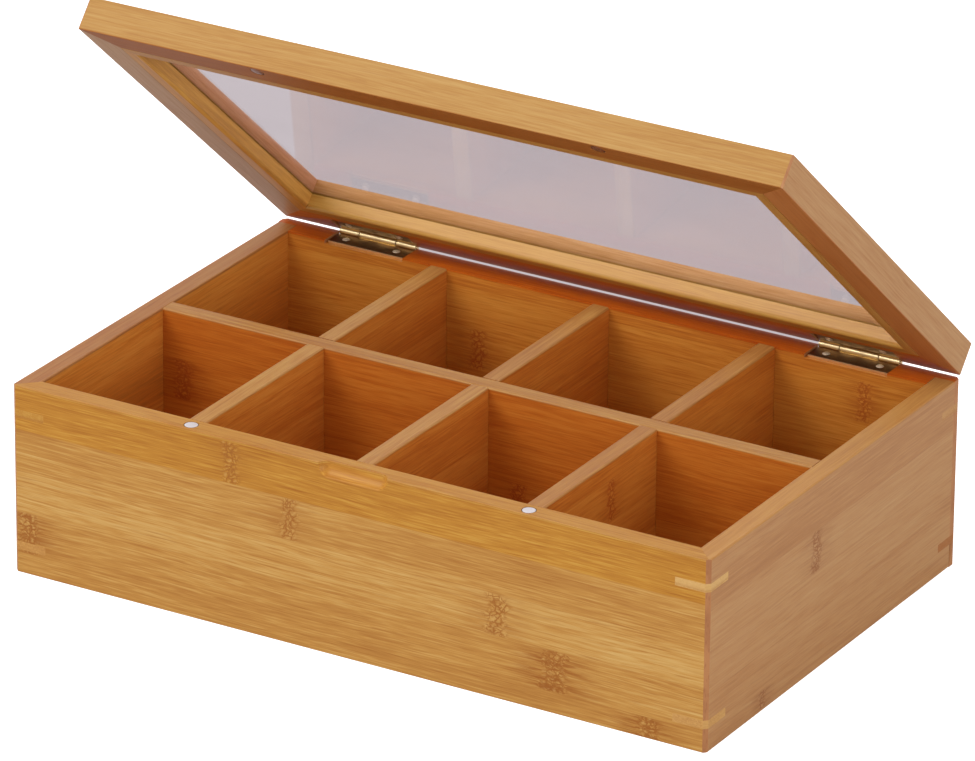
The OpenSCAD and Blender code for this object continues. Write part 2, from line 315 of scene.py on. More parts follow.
def makeStudio():
    deselectAll()
    placeCamera()
    world = bpy.data.worlds.new("studio")
    world.use_nodes = True
    light = world.node_tree.nodes["Background"]
    light.inputs["Color"].default_value = studio["worldTint"]
    sky = world.node_tree
    seen = addNode(sky, "ShaderNodeLightPath", (-600, 0)).outputs["Is Camera Ray"]
    levels = (studio["worldStrength"], studio["backdropStrength"])
    strength = rangeNode(sky, seen, 0, 1, *levels, (-300, 0), "LINEAR")
    sky.links.new(strength, light.inputs["Strength"])
    bpy.context.scene.world = world
    placeSoftbox("key")
    placeSoftbox("side")
    makeFloor()
    view = bpy.context.scene.view_settings
    view.view_transform = "Standard"
    print("stage set")


def makeFloor():
    bpy.ops.mesh.primitive_plane_add(size=studio["floorSize"])
    floor = bpy.context.object
    floor.name = "studioFloor"
    paper = bpy.data.materials.new("palePaper")
    paper.use_nodes = True
    tree = paper.node_tree
    coords = addNode(tree, "ShaderNodeTexCoord", (-900, 0))
    speck = noiseNode(tree, coords.outputs["Object"], (9, 9, 9), 3, (-500, 0))
    tone = rangeNode(tree, speck, 0.3, 0.7, 0.985, 1.0, (-320, 0))
    shade = mixColor(tree, 1.0, studio["floorColor"], tone, (-150, 0), "MULTIPLY")
    surface = tree.nodes["Principled BSDF"]
    tree.links.new(shade, surface.inputs["Base Color"])
    surface.inputs["Roughness"].default_value = studio["floorRoughness"]
    surface.inputs["Specular IOR Level"].default_value = studio["floorSpecular"]
    # paper lit from below: it looks white and still throws little light up at the box
    surface.inputs["Emission Color"].default_value = (1, 1, 1, 1)
    seen = addNode(tree, "ShaderNodeLightPath", (-600, -400)).outputs["Is Camera Ray"]
    # a painted shadow: a soft patch behind the box doesn't glow, and shows through the slit under
    # the lid
    place = splitNode(tree, coords.outputs["Object"], (-700, -700))
    behind = mathNode(tree, "SUBTRACT", place["Y"], studio["boxBack"], (-550, -800))
    sideways = scaleAdd(tree, behind, studio["paintedShadowLean"], place["X"], (-400, -700))
    sideways = mathNode(tree, "ABSOLUTE", sideways, 0, (-250, -700))
    lit = rangeNode(tree, sideways, *studio["paintedShadowSides"], 0, 1, (-100, -700))
    far = rangeNode(tree, behind, *studio["paintedShadowFar"], 0, 1, (-100, -850))
    near = rangeNode(tree, behind, *studio["paintedShadowNear"], 0, 1, (-100, -1000))
    lit = mathNode(tree, "MAXIMUM", lit, far, (50, -700))
    lit = mathNode(tree, "MAXIMUM", lit, near, (200, -700))
    glow = mathNode(tree, "MULTIPLY", lit, studio["floorGlow"], (350, -600))
    glow = mathNode(tree, "MULTIPLY", glow, seen, (500, -500))
    tree.links.new(glow, surface.inputs["Emission Strength"])
    floor.data.materials.append(paper)


makeStudio()


# bamboo

def makeKnuckleGroup():
    # one growth ring across a strip: the ring itself and the streaks that run out of it
    tree, given, result = newGroup(
        "knuckleMark",
        [
            ("Vector", vector, (0, 0, 0)), ("Place", vector, (0, 0, 0)),
            ("Size", vector, (0.005, 0.009, 1)), ("Rush", number, 0.6),
        ],
        [("Core", number), ("Halo", number)],
    )
    fromPlace = vectorNode(tree, "SUBTRACT", given["Vector"], given["Place"], (-1500, 0))
    inSizes = vectorNode(tree, "DIVIDE", fromPlace, given["Size"], (-1300, 0))
    parts = splitNode(tree, inSizes, (-1100, 0))
    wander = noiseNode(tree, given["Vector"], (40, 210, 40), 2, (-900, -300))
    wander = rangeNode(tree, wander, 0.0, 1.0, -0.9, 0.9, (-720, -300), "LINEAR")
    along = mathNode(tree, "ADD", parts["X"], wander, (-540, 0))
    along = mathNode(tree, "ABSOLUTE", along, 0, (-360, 0))
    across = mathNode(tree, "ABSOLUTE", parts["Y"], 0, (-360, -200))
    coreAlong = rangeNode(tree, along, 1.25, 0.35, 0, 1, (-150, 100))
    coreAcross = rangeNode(tree, across, 1.04, 0.9, 0, 1, (-150, -100))
    haloAlong = rangeNode(tree, along, 4.4, 0.2, 0, 1, (-150, -300))
    haloAcross = rangeNode(tree, across, 1.06, 0.86, 0, 1, (-150, -500))
    core = mathNode(tree, "MULTIPLY", coreAlong, coreAcross, (100, 0))
    halo = mathNode(tree, "MULTIPLY", haloAlong, haloAcross, (100, -300))
    halo = mathNode(tree, "MULTIPLY", halo, given["Rush"], (250, -300))
    tree.links.new(core, result["Core"])
    tree.links.new(halo, result["Halo"])
    return tree


# how closely each pattern is packed along, across and through the board, and how strongly it shows
fibre = {
    "sway": (7, 38, 38), "swayReach": 0.0026,
    "twist": (150, 230, 230), "twistReach": 0.0042,
    "streak": (16, 800, 800), "streakTone": 1.7,
    "fine": (66, 1850, 1850), "fineTone": 1.7,
    "broad": (6, 60, 60), "broadTone": 1.0,
    "dark": (48, 1450, 1450), "darkTone": 0.38,
    "rush": (70, 1050, 1050),
    "bend": (300, 300, 300), "bendReach": 1.2,
    "ovals": (390, 430, 150), "ovalInside": 0.4, "ovalOutline": 0.8,
    "stripTone": 0.5, "glueLine": 0.22,
    "tintBlend": 0.0004, "topBlend": 0.0003,
}


def makeFibreGroup():
    # the vector runs along the grain in X, across the strips in Y and through the board in Z
    tree, given, result = newGroup(
        "bambooFibre",
        [
            ("Vector", vector, (0, 0, 0)), ("Core", number, 0), ("Halo", number, 0),
            ("Pale", colour, (0.7, 0.4, 0.15, 1)), ("Amber", colour, (0.6, 0.3, 0.09, 1)),
            ("Brown", colour, (0.35, 0.11, 0.03, 1)), ("Strip Width", number, 0.018),
            ("Strip Start", number, 0), ("Seed", number, 0), ("Streaks", number, 1),
            ("Tint", colour, (1, 1, 1, 1)), ("Tint Line", number, 1), ("Tint Side", number, 1),
            ("Top Tint", colour, (1, 1, 1, 1)), ("Top Line", number, 1),
        ],
        [("Color", colour), ("Roughness", number), ("Height", number)],
    )
    # strips
    place = splitNode(tree, given["Vector"], (-1600, 300))
    fromStart = mathNode(tree, "SUBTRACT", place["Y"], given["Strip Start"], (-1450, 300))
    inStrips = mathNode(tree, "DIVIDE", fromStart, given["Strip Width"], (-1300, 300))
    strip = mathNode(tree, "FLOOR", inStrips, 0, (-1150, 350))
    withinStrip = mathNode(tree, "FRACT", inStrips, 0, (-1150, 200))
    seeded = scaleAdd(tree, given["Seed"], 17.31, strip, (-1150, 500))
    chance = addNode(
        tree, "ShaderNodeTexWhiteNoise", (-1000, 350), {"noise_dimensions": "1D"}, {"W": seeded}
    ).outputs["Value"]
    drift = scaleAdd(tree, chance, 3.7, given["Seed"], (-850, 350))
    shift = joinNode(tree, {"X": drift, "Y": given["Seed"]}, (-700, 350))
    own = vectorNode(tree, "ADD", given["Vector"], shift, (-550, 350))

    # the fibres wander gently, and more so round a knuckle
    reach = fibre["swayReach"]
    sway = noiseNode(tree, own, fibre["sway"], 1, (-1000, 0))
    sway = rangeNode(tree, sway, 0, 1, -reach, reach, (-800, 0), "LINEAR")
    reach = fibre["twistReach"]
    twist = noiseNode(tree, own, fibre["twist"], 2, (-1000, -200))
    twist = rangeNode(tree, twist, 0, 1, -reach, reach, (-800, -200), "LINEAR")
    twist = mathNode(tree, "MULTIPLY", twist, given["Core"], (-650, -200))
    sideways = mathNode(tree, "ADD", sway, twist, (-500, -100))
    sideways = joinNode(tree, {"Y": sideways, "Z": sideways}, (-350, -100))
    flow = vectorNode(tree, "ADD", own, sideways, (-200, 100))

    streak = noiseNode(tree, flow, fibre["streak"], 4, (250, 500), 0.62)
    fine = noiseNode(tree, flow, fibre["fine"], 2, (250, 300), 0.55, (3, 1, 7))
    broad = noiseNode(tree, flow, fibre["broad"], 2, (250, 100), 0.5, (9, 4, 2))
    dark = noiseNode(tree, flow, fibre["dark"], 2, (250, -300), 0.5, (5, 2, 6))
    dark = rangeNode(tree, dark, 0.56, 0.72, 0, 1, (420, -300))

    tone = aboutMiddle(tree, streak, fibre["streakTone"], (420, 500))
    fineTone = aboutMiddle(tree, fine, fibre["fineTone"], (420, 300))
    broadTone = aboutMiddle(tree, broad, fibre["broadTone"], (420, 100))
    stripTone = aboutMiddle(tree, chance, fibre["stripTone"], (560, 200))
    tone = mathNode(tree, "ADD", tone, fineTone, (700, 450))
    tone = mathNode(tree, "ADD", tone, broadTone, (1120, 350))
    tone = mathNode(tree, "ADD", tone, stripTone, (1200, 300))
    tone = mathNode(tree, "MULTIPLY", tone, given["Streaks"], (1300, 400))
    toPale = rangeNode(tree, tone, -0.05, 0.75, 0, 1, (1400, 400), "LINEAR")
    toBrown = rangeNode(tree, tone, 0.05, -1.15, 0, 1, (1400, 200), "LINEAR")

    shade = mixColor(tree, toPale, given["Amber"], given["Pale"], (1560, 400))
    shade = mixColor(tree, toBrown, shade, given["Brown"], (1700, 300))
    darkAmount = mathNode(tree, "MULTIPLY", dark, fibre["darkTone"], (1560, 0))
    darkAmount = mathNode(tree, "MULTIPLY", darkAmount, given["Streaks"], (1700, 0))
    shade = mixColor(tree, darkAmount, shade, given["Brown"], (1860, 250))

    # the top or the underside of a board can be tinted apart from its faces. Most such tints are
    # painted light and shade, for how light falls on a top or an underside; the tint of the front
    # panel's upper strip is that strip's own tone
    fromLine = mathNode(tree, "SUBTRACT", place["Y"], given["Tint Line"], (-1450, 900))
    fromLine = mathNode(tree, "MULTIPLY", fromLine, given["Tint Side"], (-1300, 900))
    blend = fibre["tintBlend"]
    beyond = rangeNode(tree, fromLine, -blend, blend, 0, 1, (-1100, 900))
    shade = mixColor(tree, beyond, shade, given["Tint"], (1940, 400), "MULTIPLY")
    fromTop = mathNode(tree, "SUBTRACT", place["Y"], given["Top Line"], (-1300, 1050))
    blend = fibre["topBlend"]
    onTop = rangeNode(tree, fromTop, -blend, blend, 0, 1, (-1100, 1050))
    shade = mixColor(tree, onTop, shade, given["Top Tint"], (1980, 550), "MULTIPLY")

    # the glue line between two strips
    fromJoint = mathNode(tree, "SUBTRACT", withinStrip, 0.5, (-900, 700))
    fromJoint = mathNode(tree, "ABSOLUTE", fromJoint, 0, (-750, 700))
    joint = rangeNode(tree, fromJoint, 0.482, 0.5, 0, fibre["glueLine"], (-600, 700))
    shade = mixColor(tree, joint, shade, given["Brown"], (2020, 250))

    # reddish streaks beside a knuckle
    rush = noiseNode(tree, flow, fibre["rush"], 3, (250, -600), 0.6, (2, 2, 2))
    rush = rangeNode(tree, rush, 0.42, 0.62, 0.2, 1, (420, -600))
    rush = mathNode(tree, "MULTIPLY", rush, given["Halo"], (560, -600), True)
    shade = mixColor(tree, rush, shade, given["Brown"], (2180, 200))

    # the knuckle: crowded small ovals with dark outlines
    reach = fibre["bendReach"]
    bent = noiseNode(tree, own, fibre["bend"], 2, (250, -900))
    bent = rangeNode(tree, bent, 0, 1, -reach, reach, (420, -900), "LINEAR")
    cells = vectorNode(tree, "MULTIPLY", own, fibre["ovals"], (560, -900))
    cells = vectorNode(tree, "ADD", cells, bent, (700, -900))
    ovals = addNode(
        tree, "ShaderNodeTexVoronoi", (860, -900), {"feature": "DISTANCE_TO_EDGE"},
        {"Vector": cells, "Scale": 1.0, "Randomness": 0.85},
    ).outputs["Distance"]
    outline = rangeNode(tree, ovals, 0.17, 0.03, 0, 1, (1020, -850))
    outline = mathNode(tree, "MULTIPLY", outline, given["Core"], (1180, -850))
    inside = rangeNode(tree, ovals, 0.2, 0.45, 0, 1, (1020, -1050))
    inside = mathNode(tree, "MULTIPLY", inside, given["Core"], (1180, -1050))
    paleAmount = mathNode(tree, "MULTIPLY", inside, fibre["ovalInside"], (1340, -1050))
    shade = mixColor(tree, paleAmount, shade, given["Pale"], (2340, 200))
    brownAmount = mathNode(tree, "MULTIPLY", outline, fibre["ovalOutline"], (1340, -850))
    shade = mixColor(tree, brownAmount, shade, given["Brown"], (2500, 200))
    tree.links.new(shade, result["Color"])

    rough = rangeNode(tree, fine, 0.2, 0.8, 0.36, 0.5, (2340, -200), "LINEAR")
    rough = scaleAdd(tree, outline, 0.15, rough, (2500, -200))
    tree.links.new(rough, result["Roughness"])
    # fibres stand up a little, outlines and glue lines lie lower
    height = mathNode(tree, "MULTIPLY", streak, 0.4, (2180, -600))
    height = scaleAdd(tree, fine, 0.6, height, (2340, -500))
    height = scaleAdd(tree, outline, -1.2, height, (2500, -500))
    height = scaleAdd(tree, joint, -1.5, height, (2660, -500))
    tree.links.new(height, result["Height"])
    return tree


def makeEndGrainGroup():
    # cut ends show the fibres as close dark dots
    tree, given, result = newGroup(
        "bambooEnds",
        [
            ("Vector", vector, (0, 0, 0)), ("Ground", colour, (0.5, 0.25, 0.1, 1)),
            ("Dots", colour, (0.3, 0.12, 0.05, 1)),
        ],
        [("Color", colour), ("Roughness", number), ("Height", number)],
    )
    cells = vectorNode(tree, "MULTIPLY", given["Vector"], (1050, 1050, 300), (-900, 0))
    dots = addNode(tree, "ShaderNodeTexVoronoi", (-700, 0), None, {"Vector": cells, "Scale": 1.0})
    dots = rangeNode(tree, dots.outputs["Distance"], 0.45, 0.15, 0, 1, (-500, 0))
    cloud = noiseNode(tree, given["Vector"], (160, 160, 60), 3, (-500, -300))
    cloud = rangeNode(tree, cloud, 0.3, 0.7, 0, 0.6, (-300, -300))
    shade = mixColor(tree, cloud, given["Ground"], given["Dots"], (-100, 0))
    dotAmount = mathNode(tree, "MULTIPLY", dots, 0.5, (-300, 100))
    shade = mixColor(tree, dotAmount, shade, given["Dots"], (100, 0))
    rough = rangeNode(tree, cloud, 0, 0.6, 0.42, 0.55, (100, -300), "LINEAR")
    height = mathNode(tree, "MULTIPLY", dots, -1.0, (100, -500))
    tree.links.new(shade, result["Color"])
    tree.links.new(rough, result["Roughness"])
    tree.links.new(height, result["Height"])
    return tree


knuckleGroup = makeKnuckleGroup()
fibreGroup = makeFibreGroup()
endGrainGroup = makeEndGrainGroup()

bamboo = {
    "pale": (0.70, 0.45, 0.145, 1),
    "amber": (0.58, 0.30, 0.066, 1),
    "brown": (0.36, 0.125, 0.018, 1),
    "endGround": (0.52, 0.235, 0.085, 1),
    "endDots": (0.36, 0.14, 0.05, 1),
    "satin": 0.1,
    "satinRoughness": 0.32,
    "specular": 0.3,
    "relief": 0.00005,
    "reliefStrength": 0.6,
}


def boardEuler(grain, across):
    through = grain.cross(across)
    return Matrix((grain, across, through)).to_euler()


def placeGroup(tree, group, at, inputs):
    return addNode(tree, "ShaderNodeGroup", at, {"node_tree": group}, inputs)


def finishWood(material, look, specular, satin):
    tree = material.node_tree
    surface = tree.nodes["Principled BSDF"]
    surface.location = (700, 0)
    tree.nodes["Material Output"].location = (1000, 0)
    tree.links.new(look.outputs["Color"], surface.inputs["Base Color"])
    tree.links.new(look.outputs["Roughness"], surface.inputs["Roughness"])
    surface.inputs["Specular IOR Level"].default_value = specular
    surface.inputs["Coat Weight"].default_value = satin
    surface.inputs["Coat Roughness"].default_value = bamboo["satinRoughness"]
    bump = addNode(tree, "ShaderNodeBump", (480, -250), None, {"Height": look.outputs["Height"]})
    bump.inputs["Strength"].default_value = bamboo["reliefStrength"]
    bump.inputs["Distance"].default_value = bamboo["relief"]
    tree.links.new(bump.outputs["Normal"], surface.inputs["Normal"])


def makeBoardMaterial(name, board):
    material = bpy.data.materials.new(name)
    material.use_nodes = True
    tree = material.node_tree
    coords = addNode(tree, "ShaderNodeTexCoord", (-1100, 0))
    turned = addNode(tree, "ShaderNodeMapping", (-900, 0), None, {
        "Vector": coords.outputs["Object"],
        "Rotation": boardEuler(board["grain"], board["across"]),
    }).outputs[0]
    core = None
    halo = None
    for index, (u, v, halfLength, halfHeight, rush) in enumerate(board.get("knuckles", [])):
        mark = placeGroup(tree, knuckleGroup, (-600, -300 - 220 * index), {
            "Vector": turned,
            "Place": (u * mm, v * mm, 0),
            "Size": (halfLength * mm, halfHeight * mm, 1),
            "Rush": rush,
        })
        if core is None:
            core, halo = mark.outputs["Core"], mark.outputs["Halo"]
        else:
            at = (-380, -300 - 220 * index)
            core = mathNode(tree, "MAXIMUM", core, mark.outputs["Core"], at)
            halo = mathNode(tree, "MAXIMUM", halo, mark.outputs["Halo"], (at[0] + 150, at[1]))
    inputs = {
        "Vector": turned,
        "Pale": board.get("pale", bamboo["pale"]),
        "Amber": board.get("amber", bamboo["amber"]),
        "Brown": board.get("brown", bamboo["brown"]),
        "Strip Width": board.get("stripWidth", 18) * mm,
        "Strip Start": board.get("stripStart", 9) * mm,
        "Seed": board["seed"],
        "Streaks": board.get("streaks", 1.0),
        "Tint": board.get("tint", (1, 1, 1, 1)),
        "Tint Line": board.get("tintLine", 1000) * mm,
        "Tint Side": board.get("tintSide", 1),
        "Top Tint": board.get("topTint", (1, 1, 1, 1)),
        "Top Line": board.get("topLine", 1000) * mm,
    }
    if core is not None:
        inputs["Core"] = core
        inputs["Halo"] = halo
    look = placeGroup(tree, fibreGroup, (200, 0), inputs)
    specular = board.get("specular", bamboo["specular"])
    satin = board.get("satin", bamboo["satin"])
    finishWood(material, look, specular, satin)
    return material


def makeEndGrainMaterial():
    material = bpy.data.materials.new("bambooEndGrain")
    material.use_nodes = True
    tree = material.node_tree
    coords = addNode(tree, "ShaderNodeTexCoord", (-400, 0))
    look = placeGroup(tree, endGrainGroup, (100, 0), {
        "Vector": coords.outputs["Object"],
        "Ground": bamboo["endGround"],
        "Dots": bamboo["endDots"],
    })
    finishWood(material, look, bamboo["specular"], bamboo["satin"])
    return material


endGrain = makeEndGrainMaterial()


def inRecess(place):
    # the outline of the thumb recess, on the rim and on the front face
    onRim = place.z > 0.08199 and place.y < -0.099
    onFace = place.y < -0.10299 and place.z > 0.076
    return abs(place.x) < 0.0162 and (onRim or onFace)


def recessWall(place):
    return abs(place.x) < 0.0165 and place.y < -0.099 and place.z > 0.076


plainTones = {key: bamboo[key] for key in ("pale", "amber", "brown")}
# boards seen mostly inside the box are redder, painted shade for the reddish shade between their
# walls, with paler tops as painted light
paintedShadeInside = {
    "pale": (0.63, 0.22, 0.028, 1), "amber": (0.55, 0.155, 0.015, 1),
    "brown": (0.36, 0.07, 0.006, 1), "tint": (0.83, 1.36, 3.1, 1), "tintLine": 81.2,
}
paintedShadeInsideCross = {
    **paintedShadeInside, "pale": (0.64, 0.255, 0.04, 1), "amber": (0.56, 0.18, 0.022, 1),
    "tint": (0.84, 1.22, 2.4, 1),
}


def onLid(z):
    # the height of the closed lid's level z along the open lid's own upright
    return pinPoint.dot(lidZ) / mm + z - pinPoint.z / mm


# knuckles are given as: along the grain, across it, half length, half height and
# the strength of the streaks. A small one shows too few ovals and looks like lettering
boxBoards = {
    "front_panel": {
        "name": "frontPanel", "grain": axisX, "across": axisZ, "seed": 1.3, "ease": 0.35,
        "round": inRecess, "sideGrain": recessWall, "specular": 0.2,
        "knuckles": [
            (-56, 72, 4.0, 9, 0.4), (-29.5, 54, 4.0, 9, 0.4), (-153, 18, 4.8, 9, 0.9),
            (66, 36, 5.0, 9, 0.5), (92, 18, 5.6, 9, 1.1), (134, 4.5, 4.8, 4.5, 1.0),
        ],
        # the tint from 63 mm up is the upper strip's own tone; the darker tint on the rim top is
        # painted shade
        "tint": (0.98, 0.88, 0.50, 1), "tintLine": 63,
        "topTint": (0.80, 0.72, 0.82, 1), "topLine": 81.4,
    },
    # painted shade: the back panel's inner face is redder and its rim top tinted darker, under the
    # lid's shade; its outward face keeps the plain tones
    "back_panel": {
        "name": "backPanel", "grain": axisX, "across": axisZ, "seed": 7.9, "ease": 0.25,
        "sharp": lambda place: place.z > 0.08,
        "knuckles": [
            (123, 67, 3.4, 9, 0.7), (-58, 49, 4, 9, 0.6), (40, 14, 4, 9, 0.6),
            (-110, 31, 3.6, 9, 0.6),
        ],
        "stripStart": 4, "facing": axisY, "faceLightTones": plainTones,
        "pale": (0.68, 0.30, 0.045, 1), "amber": (0.585, 0.21, 0.024, 1),
        "brown": (0.38, 0.085, 0.009, 1), "tint": (0.93, 0.56, 0.25, 1), "tintLine": 81.2,
    },
    # painted shade: the left panel's inner face is redder and its rim top tinted darker; its
    # outward face keeps the plain tones
    "left_panel": {
        "name": "leftPanel", "grain": axisY, "across": axisZ, "seed": 3.7, "ease": 0.5,
        "knuckles": [(35, 52, 3.8, 9, 0.5), (-60, 16, 4.2, 9, 0.7)], "stripStart": 7,
        "facing": -axisX, "faceLightTones": plainTones,
        "pale": (0.68, 0.30, 0.05, 1), "amber": (0.59, 0.20, 0.025, 1),
        "tint": (0.63, 0.68, 1.25, 1), "tintLine": 81,
    },
    # painted sheen: the right side's paler, greyer tones stand in for the white surroundings it
    # reflects, and its rim top's more orange tint is painted too
    "right_panel": {
        "name": "rightPanel", "grain": axisY, "across": axisZ, "seed": 6.3, "ease": 0.5,
        "knuckles": [(-16, 52, 4.2, 9, 0.5), (-58, 5, 3.0, 3.8, 0.7)], "stripStart": 7,
        "streaks": 0.65, "pale": (0.58, 0.345, 0.144, 1), "amber": (0.495, 0.245, 0.085, 1),
        "brown": (0.31, 0.115, 0.034, 1), "tint": (1.0, 0.95, 0.68, 1), "tintLine": 81.2,
    },
    "bottom_panel": {
        "name": "bottomPanel", "grain": axisX, "across": axisY, "seed": 9.4, "stripWidth": 21,
        "knuckles": [(-90, -30, 4, 10, 0.6), (60, 42, 4, 10, 0.6)],
        "pale": (0.80, 0.47, 0.16, 1), "amber": (0.74, 0.38, 0.10, 1),
    },
    "long_divider": {
        "name": "longDivider", "grain": axisX, "across": axisZ, "seed": 11.8, "ease": 0.8,
        "knuckles": [(-141, 52, 4.4, 9, 0.9), (18, 34, 3.6, 9, 0.4)], "stripStart": 7, **paintedShadeInside,
    },
    "cross_divider_left": {
        "name": "crossDividerLeft", "grain": axisY, "across": axisZ, "seed": 13.1, "ease": 0.8,
        "knuckles": [(48, 30, 3.6, 9, 0.4)], "stripStart": 3, **paintedShadeInsideCross,
    },
    "cross_divider_middle": {
        "name": "crossDividerMiddle", "grain": axisY, "across": axisZ, "seed": 15.6, "ease": 0.8,
        "stripStart": 5, **paintedShadeInsideCross,
    },
    "cross_divider_right": {
        "name": "crossDividerRight", "grain": axisY, "across": axisZ, "seed": 17.2, "ease": 0.8,
        "knuckles": [(-41.6, 65, 3.0, 9, 0.7)], "stripStart": 2, **paintedShadeInsideCross,
    },
}

# a key's pale and main tone
keyTones = {
    "front_left_upper": ((0.64, 0.365, 0.068, 1), (0.53, 0.245, 0.031, 1)),
    "front_left_lower": ((0.72, 0.43, 0.14, 1), (0.60, 0.31, 0.075, 1)),
    "front_right_upper": ((0.74, 0.47, 0.17, 1), (0.67, 0.40, 0.125, 1)),
    "front_right_lower": ((0.72, 0.45, 0.16, 1), (0.64, 0.36, 0.105, 1)),
    "back_left_upper": ((0.66, 0.36, 0.10, 1), (0.58, 0.28, 0.06, 1)),
    "back_left_lower": ((0.66, 0.36, 0.10, 1), (0.58, 0.28, 0.06, 1)),
    "back_right_upper": ((0.62, 0.37, 0.14, 1), (0.53, 0.27, 0.085, 1)),
    "back_right_lower": ((0.50, 0.22, 0.06, 1), (0.42, 0.16, 0.035, 1)),
}
for index, (corner, tones) in enumerate(keyTones.items()):
    end, side, level = corner.split("_")
    leftward = -1 if side == "left" else 1
    forward = -1 if end == "front" else 1
    boxBoards["key_" + corner] = {
        "name": "key" + end.title() + side.title() + level.title(),
        "grain": Vector((leftward, -forward, 0)).normalized(), "across": axisZ,
        "seed": 20 + 1.7 * index, "streaks": 0.6, "pale": tones[0], "amber": tones[1],
        "stripWidth": 60, "sideGrain": lambda place: True,
    }


def besidePin(place):
    # the back rail's edge by the hinges is left sharp
    fromPin = place - pinPoint
    return fromPin.dot(lidZ) < 0.5 * mm and fromPin.dot(lidY) > -1.5 * mm


lidBoards = {
    # painted shade: the front rail's darker tones offset the strong light on its upturned face
    "lid_front_rail": {
        "name": "lidFrontRail", "grain": axisX, "seed": 31.7, "ease": 0.5,
        "pale": (0.53, 0.32, 0.10, 1), "amber": (0.44, 0.22, 0.047, 1),
        "brown": (0.33, 0.13, 0.025, 1), "tint": (0.80, 0.46, 0.32, 1),
        "specular": 0.15, "satin": 0.04,
    },
    # painted light: the back rail's face towards the lid's front is paler, as it turns up to the
    # light
    "lid_back_rail": {
        "name": "lidBackRail", "grain": axisX, "seed": 33.1, "ease": 0.5,
        "sharp": besidePin, "tint": (1.0, 0.55, 0.28, 1), "specular": 0.1, "satin": 0.02,
        "facing": -lidY,
        "faceLightTones": {"pale": (0.72, 0.44, 0.22, 1), "amber": (0.60, 0.31, 0.13, 1)},
    },
    # painted light: the left rail's face towards the pane is paler and pinker, as light falls on
    # it from the right
    "lid_left_rail": {
        "name": "lidLeftRail", "grain": lidY, "seed": 35.8, "ease": 0.5,
        "tint": (0.82, 0.92, 1.9, 1),
        "facing": axisX,
        "faceLightTones": {"pale": (0.76, 0.42, 0.26, 1), "amber": (0.64, 0.30, 0.17, 1)},
    },
    # painted sheen: the right rail's paler, greyer tones stand in for the white surroundings it
    # reflects
    "lid_right_rail": {
        "name": "lidRightRail", "grain": lidY, "seed": 37.4, "ease": 0.5,
        "pale": (0.57, 0.335, 0.142, 1), "amber": (0.48, 0.24, 0.083, 1),
        "tint": (1.05, 0.7, 0.45, 1),
    },
    "bead_front": {"name": "beadFront", "grain": axisX, "seed": 41.2},
    "bead_back": {
        "name": "beadBack", "grain": axisX, "seed": 43.9,
        "pale": (0.61, 0.35, 0.08, 1), "amber": (0.53, 0.268, 0.047, 1),
    },
    # painted light: the left bead is paler and more golden, as its face is lit from the right
    "bead_left": {
        "name": "beadLeft", "grain": lidY, "seed": 45.5,
        "pale": (0.74, 0.44, 0.12, 1), "amber": (0.68, 0.35, 0.07, 1),
    },
    "bead_right": {"name": "beadRight", "grain": lidY, "seed": 47.3},
}
# the rails' undersides are toned apart from their faces: painted shade, as they lie in shade under
# the open lid
for board in lidBoards.values():
    board.update({"across": lidZ, "stripWidth": 60, "stripStart": -200, "streaks": 0.75})
    board.update({"tintLine": onLid(82.5), "tintSide": -1})


def copyOfNode(node, name):
    piece = bpy.data.objects.new(name, frame["nodes"][node].data.copy())
    bpy.context.scene.collection.objects.link(piece)
    piece.data.materials.clear()
    chooseFaces(piece, lambda centre, normal: True)
    bpy.ops.mesh.remove_doubles(threshold=0.000002)
    bpy.ops.mesh.dissolve_limited(angle_limit=math.radians(0.5))
    leaveEdit()
    return piece


def longEdges(board, levels, up):
    # long edges along the grain that lie at one of the given heights
    def test(a, b):
        run = b - a
        middle = (a + b) / 2
        if "sharp" in board and board["sharp"](middle):
            return False
        if "round" in board and board["round"](a) and board["round"](b):
            return True
        if run.length < 3 * mm or abs(run.normalized().dot(board["grain"])) < 0.999:
            return False
        return any(abs(middle.dot(up) - level) < 0.00002 for level in levels)
    return test


def easeEdges(piece, test, width):
    chooseEdges(piece, test)
    bpy.ops.mesh.bevel(
        offset=width, offset_type="OFFSET", segments=3, profile=0.5, affect="EDGES",
        clamp_overlap=False,
    )
    leaveEdit()


def dressBoard(node, board, body, up):
    piece = copyOfNode(node, board["name"])
    points = [point.co.dot(up) for point in piece.data.vertices]
    if "ease" in board:
        chosen = longEdges(board, (max(points), min(points)), up)
        easeEdges(piece, chosen, board["ease"] * mm)
    piece.data.materials.append(makeBoardMaterial(board["name"] + "Bamboo", board))
    piece.data.materials.append(endGrain)
    grain = board["grain"]
    for face in piece.data.polygons:
        cutEnd = abs(face.normal.dot(grain)) > 0.6
        if "sideGrain" in board and board["sideGrain"](face.center):
            cutEnd = False
        face.material_index = 1 if cutEnd else 0
    if "facing" in board:
        # the face that looks this way has tones of its own, painted light and shade: it is lit
        # otherwise than the rest of the board
        toned = {**board, **board["faceLightTones"]}
        piece.data.materials.append(makeBoardMaterial(board["name"] + "FaceLightBamboo", toned))
        for face in piece.data.polygons:
            if face.normal.dot(board["facing"]) > 0.75:
                face.material_index = 2
    evenNormals(piece, 32)
    fitPiece(piece, body, node)


for node, board in boxBoards.items():
    dressBoard(node, board, "box", axisZ)
for node, board in lidBoards.items():
    dressBoard(node, board, "lid", lidZ)
print("boards dressed:", len(boxBoards) + len(lidBoards))


# window

window = {
    "tint": (0.985, 0.965, 0.985, 1),
    "roughness": 0.0,
    "ior": 1.1,
    "bevel": 0.2,
}


